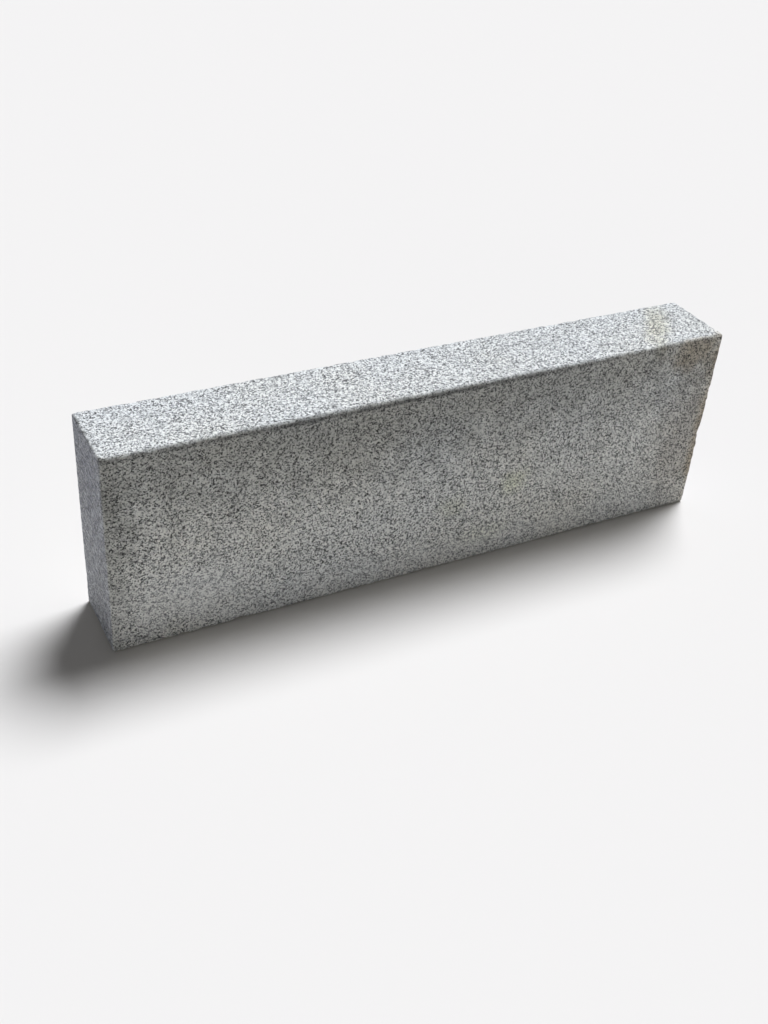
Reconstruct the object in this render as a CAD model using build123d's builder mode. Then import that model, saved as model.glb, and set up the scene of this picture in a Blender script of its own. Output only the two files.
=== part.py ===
"""Granite kerb stone: one sawn block with dressed faces and rounded arrises, on its bed.

+X runs along the kerb, +Y goes through its thickness away from the face side, +Z is up.
The origin is the middle of the footprint, at the level of the bed.
"""
import os

from build123d import *

# Driving dimensions, millimetres
kerb_length = 1000
kerb_height = 320
kerb_thickness = 125
arris_radius = 4

os.makedirs("parts", exist_ok=True)

# The stone is drawn as its upright cross-section and runs the whole length of the kerb.
# Every arris is then eased to one radius, which leaves a small ball at each of the eight corners.
with BuildPart() as kerb_stone:
    with BuildSketch(Plane.YZ.offset(-kerb_length / 2)) as cross_section:
        Rectangle(kerb_thickness, kerb_height, align=(Align.CENTER, Align.MIN))
    extrude(amount=kerb_length)
    fillet(kerb_stone.edges(), radius=arris_radius)

kerb_stone.part.label = "kerb_stone"
export_step(kerb_stone.part, "parts/kerb_stone.step")
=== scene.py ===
import math

import bpy
from mathutils import Matrix, Vector


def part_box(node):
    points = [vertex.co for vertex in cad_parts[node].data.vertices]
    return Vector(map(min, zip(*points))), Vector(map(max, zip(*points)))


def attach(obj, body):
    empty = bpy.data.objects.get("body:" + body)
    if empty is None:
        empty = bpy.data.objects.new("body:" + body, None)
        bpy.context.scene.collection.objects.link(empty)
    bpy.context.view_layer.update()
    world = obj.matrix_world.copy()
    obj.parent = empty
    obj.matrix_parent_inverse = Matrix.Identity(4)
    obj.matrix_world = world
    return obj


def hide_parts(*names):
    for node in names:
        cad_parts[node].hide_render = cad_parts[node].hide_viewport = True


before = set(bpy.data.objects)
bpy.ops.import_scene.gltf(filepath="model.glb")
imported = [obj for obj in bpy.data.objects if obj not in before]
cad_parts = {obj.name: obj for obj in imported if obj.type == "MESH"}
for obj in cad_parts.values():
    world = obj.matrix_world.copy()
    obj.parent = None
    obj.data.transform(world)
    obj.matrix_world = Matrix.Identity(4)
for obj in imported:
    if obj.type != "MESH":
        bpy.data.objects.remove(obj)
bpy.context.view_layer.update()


# The kerb stone is one block of fine light-grey granite, sawn to size. The four long faces are then
# dressed rough with the bush hammer, the two ends stay as sawn, and every arris is eased by hand,
# which leaves it round, with small bruises and a few chips.

stone_low, stone_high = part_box("kerb_stone")
stone_size = stone_high - stone_low


def add_node(tree, kind, inputs=None, **settings):
    """Adds a node. An input, named or numbered, gets a value, or a link from a socket or a node."""
    node = tree.nodes.new(kind)
    for name, value in settings.items():
        setattr(node, name, value)
    for name, value in (inputs or {}).items():
        socket = next(s for i, s in enumerate(node.inputs) if s.enabled and name in (s.name, i))
        if isinstance(value, bpy.types.Node):
            value = next(s for s in value.outputs if s.enabled)
        if isinstance(value, bpy.types.NodeSocket):
            tree.links.new(value, socket)
        else:
            socket.default_value = value
    return node


def linear(hex_colour, alpha=1.0):
    """The linear colour of an sRGB hex value."""
    parts = [int(hex_colour[i:i + 2], 16) / 255 for i in (1, 3, 5)]
    return *(p / 12.92 if p <= 0.04045 else ((p + 0.055) / 1.055) ** 2.4 for p in parts), alpha


# Fine light granite, bush-hammered. The crushed crystals leave it dry, matt and pale, and white
# feldspar and black mica stand in it as salt and pepper, in grains of 1 to 3 mm. The sawn ends show
# the same grain smoother, with faint saw lines, and a darker, bluer tint that is partly the sawn
# finish and partly painted cool shade.

CRYSTAL = 0.0020                # width of a quartz crystal
OUTLINE_STEPS = 1.4             # bends of its ragged outline in one width
OUTLINE_REACH = 0.7             # how far the outline strays, in widths
QUARTZ_SHADES = (               # share of the crystals, colour
    (0.34, "#949595"),
    (0.34, "#cacaca"),
    (0.32, "#eeeeec"),
)
GRAINS = {                      # spacing, least and most share of the places that hold a grain, colour
    "feldspar": (0.0026, 0.22, 0.50, "#efeeeb"),
    "mica": (0.0021, 0.14, 0.39, "#0b0b0b"),
}
CROWD_STEPS = 0.3               # changes from few grains to many in one spacing
CROWD_LEVELS = (0.3, 0.7)       # levels of the noise with the fewest grains and with the most
GRAIN_EDGE = (0.66, 0.58)       # where a grain ends and where it is full, in spacings from its middle
CRACK = 0.0011                  # width of the fine cracks
CRACK_LEVELS = (0.35, 0.65)     # levels of the noise where a crack is darkest and where it ends
CRACK_SHADE = "#e2e2e2"
HAMMER_PIT = 0.0046             # width of the hammer's marks in the colour and the bump
CRUSHED_LEVELS = (0.45, 0.75)   # levels of the noise where the white begins and where it is full
CRUSHED_MOST = 0.12             # how far the faces turn white in the marks
CRUSHED_AND_HIGHLIGHT_ON_ARRIS = 0.20         # and the arrises besides, partly as a painted highlight
CRUSHED_AND_HIGHLIGHT_SHADE = "#cfcfcc"
CLOUD = 0.17                    # width of the faint clouds
CLOUD_SHADES = ("#f5f9fd", "#fefcf3")
FRAY = 0.03                     # width of the bends in a patch's frayed outline
PATCH_EDGE = (1.6, 0.7)         # reaches from its middle, plus the fray, where a patch ends and is full
STAINS_AND_PAINTED_SHADE = (                      # centre from the middle of the bed, reach each way, degrees about Z, colour
    ((0.415, 0.000, 0.320), (0.100, 0.028, 0.030), 54, "#f5f2e5"),      # olive streak over the top
    ((0.450, -0.0625, 0.300), (0.070, 0.012, 0.048), 0, "#ece2d4"),     # its rusty end on the face
    ((0.500, -0.0625, 0.160), (0.022, 0.040, 0.210), 0, "#f5eada"),     # rust on the right arris
    ((0.030, -0.0625, 0.112), (0.034, 0.030, 0.028), 0, "#fdfef7"),     # three faint mossy spots
    ((0.138, -0.0625, 0.130), (0.034, 0.030, 0.028), 0, "#fcfef1"),
    ((0.090, -0.0625, 0.045), (0.060, 0.030, 0.024), 0, "#fefff9"),
    ((-0.500, -0.0625, 0.180), (0.052, 0.004, 0.220), 0, "#d8d8d6"),    # damp by the left arris
    ((0.475, -0.0625, 0.140), (0.095, 0.004, 0.190), 0, "#dfdbd7"),     # damp by the right arris
    ((-0.100, -0.0625, 0.330), (1.100, 0.008, 0.190), 0, "#c4c4c2"),    # painted shade: the face darker towards the top
    ((-0.500, 0.0150, 0.300), (0.004, 0.090, 0.170), 0, "#dddde0"),     # painted shade over the upper half of the left end
    ((-0.100, -0.0700, 0.3135), (0.600, 0.030, 0.005), 0, "#b0b1b3"),   # painted shade, a dark line close under the arris
)
DUST_AND_PAINTED_LIGHT = (                        # centre, reach each way, amount
    ((-0.390, -0.0625, 0.070), (0.140, 0.030, 0.065), 0.20),            # low on the left
    ((0.000, -0.0625, 0.020), (0.600, 0.004, 0.050), 0.16),             # painted light: paler along the foot, against the floor's shade
)
DUST_AND_LIGHT_COLOUR = "#eff1f4"
SAW_MARK = 0.0045               # height of a saw mark
SAW_MARK_STRETCH = 0.3          # its height over its length
SAW_MARK_LEVELS = (0.35, 0.62)  # levels of the noise where a mark is darkest and where it ends
# dark and light tints of the ends, bluish and dark partly as painted cool shade
SAW_MARK_AND_PAINTED_SHADE_TINTS = ("#a0a3b2", "#eef1fb")
STONE_ROUGHNESS = 0.82
MICA_ROUGHNESS = 0.42
STONE_IOR = 1.54
STONE_SPECULAR = 0.3
BUMP_DEPTH = 0.0012
CRACK_HEIGHT = 0.35             # height of the cracks over that of the hammer's marks
SAWN_HEIGHT = 0.3               # height of both on the sawn ends over that on the faces


def granite_material():
    material = bpy.data.materials.new("granite_bush_hammered")
    material.use_nodes = True
    tree = material.node_tree
    tree.nodes.clear()
    place = add_node(tree, "ShaderNodeTexCoord").outputs["Object"]
    sawn = add_node(tree, "ShaderNodeAttribute", attribute_name="sawn").outputs["Fac"]
    arris = add_node(tree, "ShaderNodeAttribute", attribute_name="arris").outputs["Fac"]

    # Grey crystals with ragged outlines, each of one shade. The ramp's own last stop isn't needed.
    ragged = add_node(tree, "ShaderNodeTexNoise",
                      {"Vector": place, "Scale": OUTLINE_STEPS / CRYSTAL, "Detail": 1.0})
    grain_place = add_node(tree, "ShaderNodeVectorMath",
                           {0: ragged.outputs["Color"], 1: (CRYSTAL * OUTLINE_REACH,) * 3, 2: place},
                           operation="MULTIPLY_ADD")
    crystals = add_node(tree, "ShaderNodeTexVoronoi", {"Vector": grain_place, "Scale": 1 / CRYSTAL})
    draw = add_node(tree, "ShaderNodeSeparateColor", {"Color": crystals.outputs["Color"]})
    colour = add_node(tree, "ShaderNodeValToRGB", {"Fac": draw.outputs["Red"]})
    ramp = colour.color_ramp
    ramp.interpolation = "CONSTANT"
    reached = 0.0
    for count, (share, shade) in enumerate(QUARTZ_SHADES):
        stop = ramp.elements[0] if count == 0 else ramp.elements.new(reached)
        stop.color = linear(shade)
        reached += share
    ramp.elements.remove(ramp.elements[-1])

    # Feldspar and mica stand apart in some of their places, more thickly in some parts than in others
    for spacing, least, most, shade in GRAINS.values():
        crowd = add_node(tree, "ShaderNodeTexNoise",
                         {"Vector": place, "Scale": CROWD_STEPS / spacing, "Detail": 1.0})
        share = add_node(tree, "ShaderNodeMapRange",
                         {"Value": crowd, "From Min": CROWD_LEVELS[0], "From Max": CROWD_LEVELS[1],
                          "To Min": least, "To Max": most})
        places = add_node(tree, "ShaderNodeTexVoronoi", {"Vector": grain_place, "Scale": 1 / spacing})
        draw = add_node(tree, "ShaderNodeSeparateColor", {"Color": places.outputs["Color"]})
        held = add_node(tree, "ShaderNodeMath", {0: draw.outputs["Red"], 1: share}, operation="LESS_THAN")
        grain = add_node(tree, "ShaderNodeMapRange",
                         {"Value": places.outputs["Distance"], "From Min": GRAIN_EDGE[0],
                          "From Max": GRAIN_EDGE[1], "To Max": held})
        colour = add_node(tree, "ShaderNodeMix", {"Factor": grain, "A": colour, "B": linear(shade)},
                          data_type="RGBA")

    # Fine cracks and cleavage shade each grain unevenly
    cracks = add_node(tree, "ShaderNodeTexNoise", {"Vector": place, "Scale": 1 / CRACK, "Detail": 2.0})
    cracked = add_node(tree, "ShaderNodeMapRange",
                       {"Value": cracks, "From Min": CRACK_LEVELS[0], "From Max": CRACK_LEVELS[1]})
    crack_tint = add_node(tree, "ShaderNodeMix",
                          {"Factor": cracked, "A": linear(CRACK_SHADE), "B": linear("#ffffff")},
                          data_type="RGBA")
    colour = add_node(tree, "ShaderNodeMix", {"Factor": 1.0, "A": colour, "B": crack_tint},
                      data_type="RGBA", blend_type="MULTIPLY")

    # Crushed white where the hammer and handling bruised the stone, most of all along the arrises, where it
    # is partly a painted highlight
    pits = add_node(tree, "ShaderNodeTexNoise", {"Vector": place, "Scale": 1 / HAMMER_PIT, "Detail": 2.0})
    crushed = add_node(tree, "ShaderNodeMapRange",
                       {"Value": pits, "From Min": CRUSHED_LEVELS[0], "From Max": CRUSHED_LEVELS[1],
                        "To Max": CRUSHED_MOST})
    rubbed_and_highlight = add_node(tree, "ShaderNodeMath", {0: arris, 1: CRUSHED_AND_HIGHLIGHT_ON_ARRIS, 2: crushed},
                      operation="MULTIPLY_ADD", use_clamp=True)
    bruised_and_highlit = add_node(tree, "ShaderNodeMix",
                       {"Factor": rubbed_and_highlight, "A": colour, "B": linear(CRUSHED_AND_HIGHLIGHT_SHADE)}, data_type="RGBA")

    # Faint cool and warm clouds over whole faces
    clouds = add_node(tree, "ShaderNodeTexNoise", {"Vector": place, "Scale": 1 / CLOUD, "Detail": 2.0})
    cloud_tint = add_node(tree, "ShaderNodeMix",
                          {"Factor": clouds, "A": linear(CLOUD_SHADES[0]), "B": linear(CLOUD_SHADES[1])},
                          data_type="RGBA")
    colour = add_node(tree, "ShaderNodeMix", {"Factor": 1.0, "A": bruised_and_highlit, "B": cloud_tint},
                      data_type="RGBA", blend_type="MULTIPLY")

    # Stains, painted shade, dust and painted light, each with a frayed outline
    fray = add_node(tree, "ShaderNodeTexNoise", {"Vector": place, "Scale": 1 / FRAY, "Detail": 3.0})

    def patch(centre, reach, turn, amount):
        inside = add_node(tree, "ShaderNodeMapping",
                          {"Vector": place, "Location": centre, "Rotation": (0, 0, math.radians(turn)),
                           "Scale": reach}, vector_type="TEXTURE")
        distance = add_node(tree, "ShaderNodeVectorMath", {0: inside}, operation="LENGTH")
        frayed = add_node(tree, "ShaderNodeMath", {0: distance, 1: fray}, operation="ADD")
        return add_node(tree, "ShaderNodeMapRange",
                        {"Value": frayed, "From Min": PATCH_EDGE[0], "From Max": PATCH_EDGE[1],
                         "To Max": amount}, interpolation_type="SMOOTHSTEP")

    for centre, reach, turn, stain_and_shade in STAINS_AND_PAINTED_SHADE:
        colour = add_node(tree, "ShaderNodeMix",
                          {"Factor": patch(centre, reach, turn, 1.0), "A": colour, "B": linear(stain_and_shade)},
                          data_type="RGBA", blend_type="MULTIPLY")
    for centre, reach, amount in DUST_AND_PAINTED_LIGHT:
        colour = add_node(tree, "ShaderNodeMix",
                          {"Factor": patch(centre, reach, 0, amount), "A": colour, "B": linear(DUST_AND_LIGHT_COLOUR)},
                          data_type="RGBA")

    # Short saw marks run level across the ends, with grey dirt in them. The tint as a whole also makes the
    # ends darker and bluer, partly as painted cool shade
    mark_place = add_node(tree, "ShaderNodeVectorMath", {0: place, 1: (1.0, SAW_MARK_STRETCH, 1.0)},
                          operation="MULTIPLY")
    marks = add_node(tree, "ShaderNodeTexNoise",
                     {"Vector": mark_place, "Scale": 1 / SAW_MARK, "Detail": 3.0})
    marked = add_node(tree, "ShaderNodeMapRange",
                      {"Value": marks, "From Min": SAW_MARK_LEVELS[0], "From Max": SAW_MARK_LEVELS[1]})
    saw_and_shade_tint = add_node(tree, "ShaderNodeMix",
                        {"Factor": marked, "A": linear(SAW_MARK_AND_PAINTED_SHADE_TINTS[0]),
                         "B": linear(SAW_MARK_AND_PAINTED_SHADE_TINTS[1])}, data_type="RGBA")
    colour = add_node(tree, "ShaderNodeMix", {"Factor": sawn, "A": colour, "B": saw_and_shade_tint},
                      data_type="RGBA", blend_type="MULTIPLY")

    # The mica, whose grains were laid last, has some gloss, and all the rest is dry
    roughness = add_node(tree, "ShaderNodeMapRange",
                         {"Value": grain, "To Min": STONE_ROUGHNESS, "To Max": MICA_ROUGHNESS})
    rough_height = add_node(tree, "ShaderNodeMath", {0: cracks, 1: CRACK_HEIGHT, 2: pits},
                            operation="MULTIPLY_ADD")
    height_share = add_node(tree, "ShaderNodeMapRange",
                            {"Value": sawn, "To Min": 1.0, "To Max": SAWN_HEIGHT})
    height = add_node(tree, "ShaderNodeMath", {0: rough_height, 1: height_share}, operation="MULTIPLY")
    bump = add_node(tree, "ShaderNodeBump", {"Height": height, "Strength": 1.0, "Distance": BUMP_DEPTH})
    surface = add_node(tree, "ShaderNodeBsdfPrincipled",
                       {"Base Color": colour, "Roughness": roughness, "Normal": bump, "IOR": STONE_IOR,
                        "Specular IOR Level": STONE_SPECULAR})
    add_node(tree, "ShaderNodeOutputMaterial", {"Surface": surface})
    return material


CELL = 0.0036                   # side of the mesh's squares on a face
BAND_WIDTH = 0.012              # strip beside each arris with finer squares
BAND_ROWS = 8
BRUISE_LEVELS = (0.4, 0.75)     # levels of the noise where each mark begins and where it is full
CHIP_LEVELS = (0.62, 0.84)
PIT_LEVELS = (0.3, 0.75)
WAVE_LEVELS = (0.3, 0.7)
SAWN_FACING = (0.72, 0.98)      # how far a point faces along the kerb where sawn begins and is full
ARRIS_MARGIN = 0.003            # how far beyond its worn flat an arris is rubbed

cells = [round((side - 2 * BAND_WIDTH) / CELL) + 2 * BAND_ROWS for side in stone_size]

STONE_INPUTS = {
    "Size": ("NodeSocketVector", stone_size),
    "Centre": ("NodeSocketVector", (stone_low + stone_high) / 2),
    "Columns": ("NodeSocketInt", cells[0] + 1),
    "Layers": ("NodeSocketInt", cells[1] + 1),
    "Courses": ("NodeSocketInt", cells[2] + 1),
    "Band start": ("NodeSocketVector", Vector(1 - 2 * BAND_ROWS / count for count in cells)),
    "Band width": ("NodeSocketFloat", BAND_WIDTH),
    "Arris radius": ("NodeSocketFloat", 0.004),
    "Least bruise": ("NodeSocketFloat", 0.002),
    "Most bruise": ("NodeSocketFloat", 0.0052),
    "Bruise width": ("NodeSocketFloat", 0.009),
    "Chip": ("NodeSocketFloat", 0.0065),
    "Chip width": ("NodeSocketFloat", 0.045),
    "Pit depth": ("NodeSocketFloat", 0.0006),
    "Pit width": ("NodeSocketFloat", 0.009),
    "Sawn depth share": ("NodeSocketFloat", 0.25),
    "Wave depth": ("NodeSocketFloat", 0.0007),
    "Wave length": ("NodeSocketFloat", 0.16),
    "Seed": ("NodeSocketFloat", 3.0),
    "Granite": ("NodeSocketMaterial", granite_material()),
}


def stone_tree():
    """A block with rounded, bruised arrises. Every point only ever moves inwards from the sawn size."""
    tree = bpy.data.node_groups.new("dressed_stone", "GeometryNodeTree")
    for name, (kind, _) in STONE_INPUTS.items():
        tree.interface.new_socket(name, in_out="INPUT", socket_type=kind)
    tree.interface.new_socket("Stone", in_out="OUTPUT", socket_type="NodeSocketGeometry")
    given = add_node(tree, "NodeGroupInput").outputs

    # A cube of side 2 whose squares are drawn together beside the arrises
    cube = add_node(tree, "GeometryNodeMeshCube",
                    {"Size": (2.0, 2.0, 2.0), "Vertices X": given["Columns"],
                     "Vertices Y": given["Layers"], "Vertices Z": given["Courses"]}).outputs["Mesh"]
    start = add_node(tree, "GeometryNodeInputPosition")
    side = add_node(tree, "ShaderNodeVectorMath", {0: start}, operation="SIGN")
    out = add_node(tree, "ShaderNodeVectorMath", {0: start}, operation="ABSOLUTE")
    half = add_node(tree, "ShaderNodeVectorMath", {0: given["Size"], "Scale": 0.5}, operation="SCALE")
    inner = add_node(tree, "ShaderNodeVectorMath", {0: half, 1: given["Band width"]}, operation="SUBTRACT")
    to_band = add_node(tree, "ShaderNodeMapRange",
                       {"Vector": out, "From Max": given["Band start"], "To Max": inner},
                       data_type="FLOAT_VECTOR")
    in_band = add_node(tree, "ShaderNodeMapRange",
                       {"Vector": out, "From Min": given["Band start"], "To Max": given["Band width"]},
                       data_type="FLOAT_VECTOR")
    square = add_node(tree, "ShaderNodeVectorMath", {0: to_band, 1: in_band}, operation="ADD")

    # The arrises are rounded about the edges of a smaller block
    core = add_node(tree, "ShaderNodeVectorMath", {0: half, 1: given["Arris radius"]}, operation="SUBTRACT")
    held = add_node(tree, "ShaderNodeVectorMath", {0: square, 1: core}, operation="MINIMUM")
    over = add_node(tree, "ShaderNodeVectorMath", {0: square, 1: held}, operation="SUBTRACT")
    facing = add_node(tree, "ShaderNodeVectorMath", {0: over}, operation="NORMALIZE")
    rounded = add_node(tree, "ShaderNodeVectorMath", {0: facing, 1: given["Arris radius"], 2: held},
                       operation="MULTIPLY_ADD")
    place = add_node(tree, "ShaderNodeVectorMath", {0: rounded, 1: side}, operation="MULTIPLY")

    def uneven(width, detail):
        """Noise over the stone, with marks as wide as the named input says."""
        scale = add_node(tree, "ShaderNodeMath", {0: 1.0, 1: given[width]}, operation="DIVIDE")
        return add_node(tree, "ShaderNodeTexNoise",
                        {"Vector": place, "W": given["Seed"], "Scale": scale, "Detail": detail},
                        noise_dimensions="4D")

    # Bruises and chips cut each arris flat, at an uneven distance from its sharp corner
    bruise = add_node(tree, "ShaderNodeMapRange",
                      {"Value": uneven("Bruise width", 3.0), "From Min": BRUISE_LEVELS[0],
                       "From Max": BRUISE_LEVELS[1], "To Min": given["Least bruise"],
                       "To Max": given["Most bruise"]})
    chip = add_node(tree, "ShaderNodeMapRange",
                    {"Value": uneven("Chip width", 2.0), "From Min": CHIP_LEVELS[0],
                     "From Max": CHIP_LEVELS[1], "To Max": given["Chip"]})
    cut = add_node(tree, "ShaderNodeMath", {0: bruise, 1: chip}, operation="ADD")
    gap = add_node(tree, "ShaderNodeVectorMath", {0: half, 1: rounded}, operation="SUBTRACT")
    gap_parts = add_node(tree, "ShaderNodeSeparateXYZ", {0: gap}).outputs
    next_gap = add_node(tree, "ShaderNodeCombineXYZ",
                        {"X": gap_parts["Y"], "Y": gap_parts["Z"], "Z": gap_parts["X"]})
    pair_gap = add_node(tree, "ShaderNodeVectorMath", {0: gap, 1: next_gap}, operation="ADD")
    lacking = add_node(tree, "ShaderNodeVectorMath", {0: cut, 1: pair_gap}, operation="SUBTRACT")
    lost = add_node(tree, "ShaderNodeVectorMath", {0: lacking, 1: (0.0, 0.0, 0.0)}, operation="MAXIMUM")
    lost_half = add_node(tree, "ShaderNodeVectorMath", {0: lost, "Scale": 0.5}, operation="SCALE")
    lost_parts = add_node(tree, "ShaderNodeSeparateXYZ", {0: lost_half}).outputs
    lost_before = add_node(tree, "ShaderNodeCombineXYZ",
                           {"X": lost_parts["Z"], "Y": lost_parts["X"], "Z": lost_parts["Y"]})
    lost_all = add_node(tree, "ShaderNodeVectorMath", {0: lost_half, 1: lost_before}, operation="ADD")
    worn = add_node(tree, "ShaderNodeVectorMath", {0: rounded, 1: lost_all}, operation="SUBTRACT")

    # Hammer pits and a slow unevenness sink the faces, and the pits are shallower on the sawn ends
    along = add_node(tree, "ShaderNodeSeparateXYZ", {0: facing}).outputs["X"]
    sawn = add_node(tree, "ShaderNodeMapRange",
                    {"Value": along, "From Min": SAWN_FACING[0], "From Max": SAWN_FACING[1]})
    pit_share = add_node(tree, "ShaderNodeMapRange",
                         {"Value": sawn, "To Min": 1.0, "To Max": given["Sawn depth share"]})
    pit = add_node(tree, "ShaderNodeMapRange",
                   {"Value": uneven("Pit width", 1.0), "From Min": PIT_LEVELS[0],
                    "From Max": PIT_LEVELS[1], "To Max": given["Pit depth"]})
    pit_sunk = add_node(tree, "ShaderNodeMath", {0: pit, 1: pit_share}, operation="MULTIPLY")
    wave = add_node(tree, "ShaderNodeMapRange",
                    {"Value": uneven("Wave length", 1.0), "From Min": WAVE_LEVELS[0],
                     "From Max": WAVE_LEVELS[1], "To Max": given["Wave depth"]})
    sunk = add_node(tree, "ShaderNodeMath", {0: pit_sunk, 1: wave}, operation="ADD")
    sinking = add_node(tree, "ShaderNodeVectorMath", {0: facing, "Scale": sunk}, operation="SCALE")
    dressed = add_node(tree, "ShaderNodeVectorMath", {0: worn, 1: sinking}, operation="SUBTRACT")
    final = add_node(tree, "ShaderNodeVectorMath", {0: dressed, 1: side, 2: given["Centre"]},
                     operation="MULTIPLY_ADD")

    # How near an arris each point is, and how much of it is sawn, for the granite
    pair_parts = add_node(tree, "ShaderNodeSeparateXYZ", {0: pair_gap}).outputs
    two_least = add_node(tree, "ShaderNodeMath", {0: pair_parts["X"], 1: pair_parts["Y"]},
                         operation="MINIMUM")
    least = add_node(tree, "ShaderNodeMath", {0: two_least, 1: pair_parts["Z"]}, operation="MINIMUM")
    arris_reach = add_node(tree, "ShaderNodeMath", {0: cut, 1: ARRIS_MARGIN}, operation="ADD")
    arris = add_node(tree, "ShaderNodeMapRange",
                     {"Value": least, "From Min": arris_reach, "From Max": cut})
    stone = cube
    for name, value in (("arris", arris), ("sawn", sawn)):
        stone = add_node(tree, "GeometryNodeStoreNamedAttribute",
                         {"Geometry": stone, "Name": name, "Value": value})
    stone = add_node(tree, "GeometryNodeSetPosition", {"Geometry": stone, "Position": final})
    stone = add_node(tree, "GeometryNodeSetShadeSmooth", {0: stone})
    stone = add_node(tree, "GeometryNodeRealizeInstances", {"Geometry": stone})
    stone = add_node(tree, "GeometryNodeSetMaterial", {"Geometry": stone, "Material": given["Granite"]})
    add_node(tree, "NodeGroupOutput", {"Stone": stone})
    return tree


dressed_stone = bpy.data.objects.new("dressed_stone", bpy.data.meshes.new("empty"))
bpy.context.scene.collection.objects.link(dressed_stone)
dressing = dressed_stone.modifiers.new("dressing", "NODES")
dressing.node_group = stone_tree()
for socket in dressing.node_group.interface.items_tree:
    if socket.in_out == "INPUT":
        dressing[socket.identifier] = STONE_INPUTS[socket.name][1]
evaluated = dressed_stone.evaluated_get(bpy.context.evaluated_depsgraph_get())
stone_mesh = bpy.data.meshes.new_from_object(evaluated)
dressed_stone.modifiers.remove(dressing)
dressed_stone.data = stone_mesh

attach(dressed_stone, "root")
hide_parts("kerb_stone")


# The studio is a wide pale matt floor with one broad soft lamp high behind the right of the stone,
# which leaves the broad face and the left end in shade, a weak low fill for those two, and an even
# pale sky.

FLOOR_REACH = 30.0
FLOOR_CORNERS = ((-1, -1), (1, -1), (1, 1), (-1, 1))
FLOOR_SHADE = "#dcd8d2"
LAMPS = (                       # name, place, degrees across, power, colour
    ("lamp", (0.40, 0.24, 0.88), 25, 4.5, "#f3f7ff"),
    ("fill", (-0.60, -0.80, 0.12), 40, 0.45, "#fafaf6"),
)
SKY_POWER = 0.12
SKY_LIGHT = "#f7f9ff"
SKY_SHOWN = "#f4f3f4"           # as pale as the lit floor

# Dead matt paint, with no sheen, so that the floor is as pale far away as close by
floor_material = bpy.data.materials.new("floor_matt_paint")
floor_material.use_nodes = True
floor_tree = floor_material.node_tree
floor_tree.nodes.clear()
paint = add_node(floor_tree, "ShaderNodeBsdfPrincipled",
                 {"Base Color": linear(FLOOR_SHADE), "Roughness": 1.0, "Specular IOR Level": 0.0})
add_node(floor_tree, "ShaderNodeOutputMaterial", {"Surface": paint})
floor_mesh = bpy.data.meshes.new("floor")
floor_points = [(x * FLOOR_REACH, y * FLOOR_REACH, 0.0) for x, y in FLOOR_CORNERS]
floor_mesh.from_pydata(floor_points, [], [(0, 1, 2, 3)])
floor_mesh.materials.append(floor_material)
floor = bpy.data.objects.new("floor", floor_mesh)
bpy.context.scene.collection.objects.link(floor)

for name, place, width, power, shade in LAMPS:
    lamp = bpy.data.objects.new(name, bpy.data.lights.new(name, "SUN"))
    lamp.data.energy = power
    lamp.data.color = linear(shade)[:3]
    lamp.data.angle = math.radians(width)
    lamp.rotation_euler = Vector(place).to_track_quat("Z", "Y").to_euler()
    bpy.context.scene.collection.objects.link(lamp)

sky = bpy.data.worlds.new("sky")
bpy.context.scene.world = sky
sky.use_nodes = True
sky_tree = sky.node_tree
sky_tree.nodes.clear()
rays = add_node(sky_tree, "ShaderNodeLightPath").outputs
seen = rays["Is Camera Ray"]
for kind in ("Is Glossy Ray", "Is Transmission Ray"):
    seen = add_node(sky_tree, "ShaderNodeMath", {0: seen, 1: rays[kind]}, operation="MAXIMUM")
sky_light = add_node(sky_tree, "ShaderNodeBackground", {"Color": linear(SKY_LIGHT), "Strength": SKY_POWER})
sky_shown = add_node(sky_tree, "ShaderNodeBackground", {"Color": linear(SKY_SHOWN), "Strength": 1.0})
sky_mix = add_node(sky_tree, "ShaderNodeMixShader", {0: seen, 1: sky_light, 2: sky_shown})
add_node(sky_tree, "ShaderNodeOutputWorld", {"Surface": sky_mix})


# The camera stands where the photograph was taken from, with a longer lens, so that the stone fills
# the picture.

CAMERA_PLACE = (-0.8206, -1.3440, 1.1746)
CAMERA_YAW = -29.794
CAMERA_PITCH = 35.213
CAMERA_ROLL = 4.656
PHOTO_FOCAL = 694.4             # in pixels of the photograph
PHOTO_HEIGHT = 1024
ENLARGEMENT = 1.78

camera = bpy.data.objects.new("camera", bpy.data.cameras.new("camera"))
camera.matrix_world = (Matrix.Translation(CAMERA_PLACE)
                       @ Matrix.Rotation(math.radians(CAMERA_YAW), 4, "Z")
                       @ Matrix.Rotation(math.radians(90 - CAMERA_PITCH), 4, "X")
                       @ Matrix.Rotation(math.radians(CAMERA_ROLL), 4, "Z"))
camera.data.lens = camera.data.sensor_width * PHOTO_FOCAL * ENLARGEMENT / PHOTO_HEIGHT
bpy.context.scene.collection.objects.link(camera)
bpy.context.scene.camera = camera

bpy.context.scene.view_settings.view_transform = "Standard"
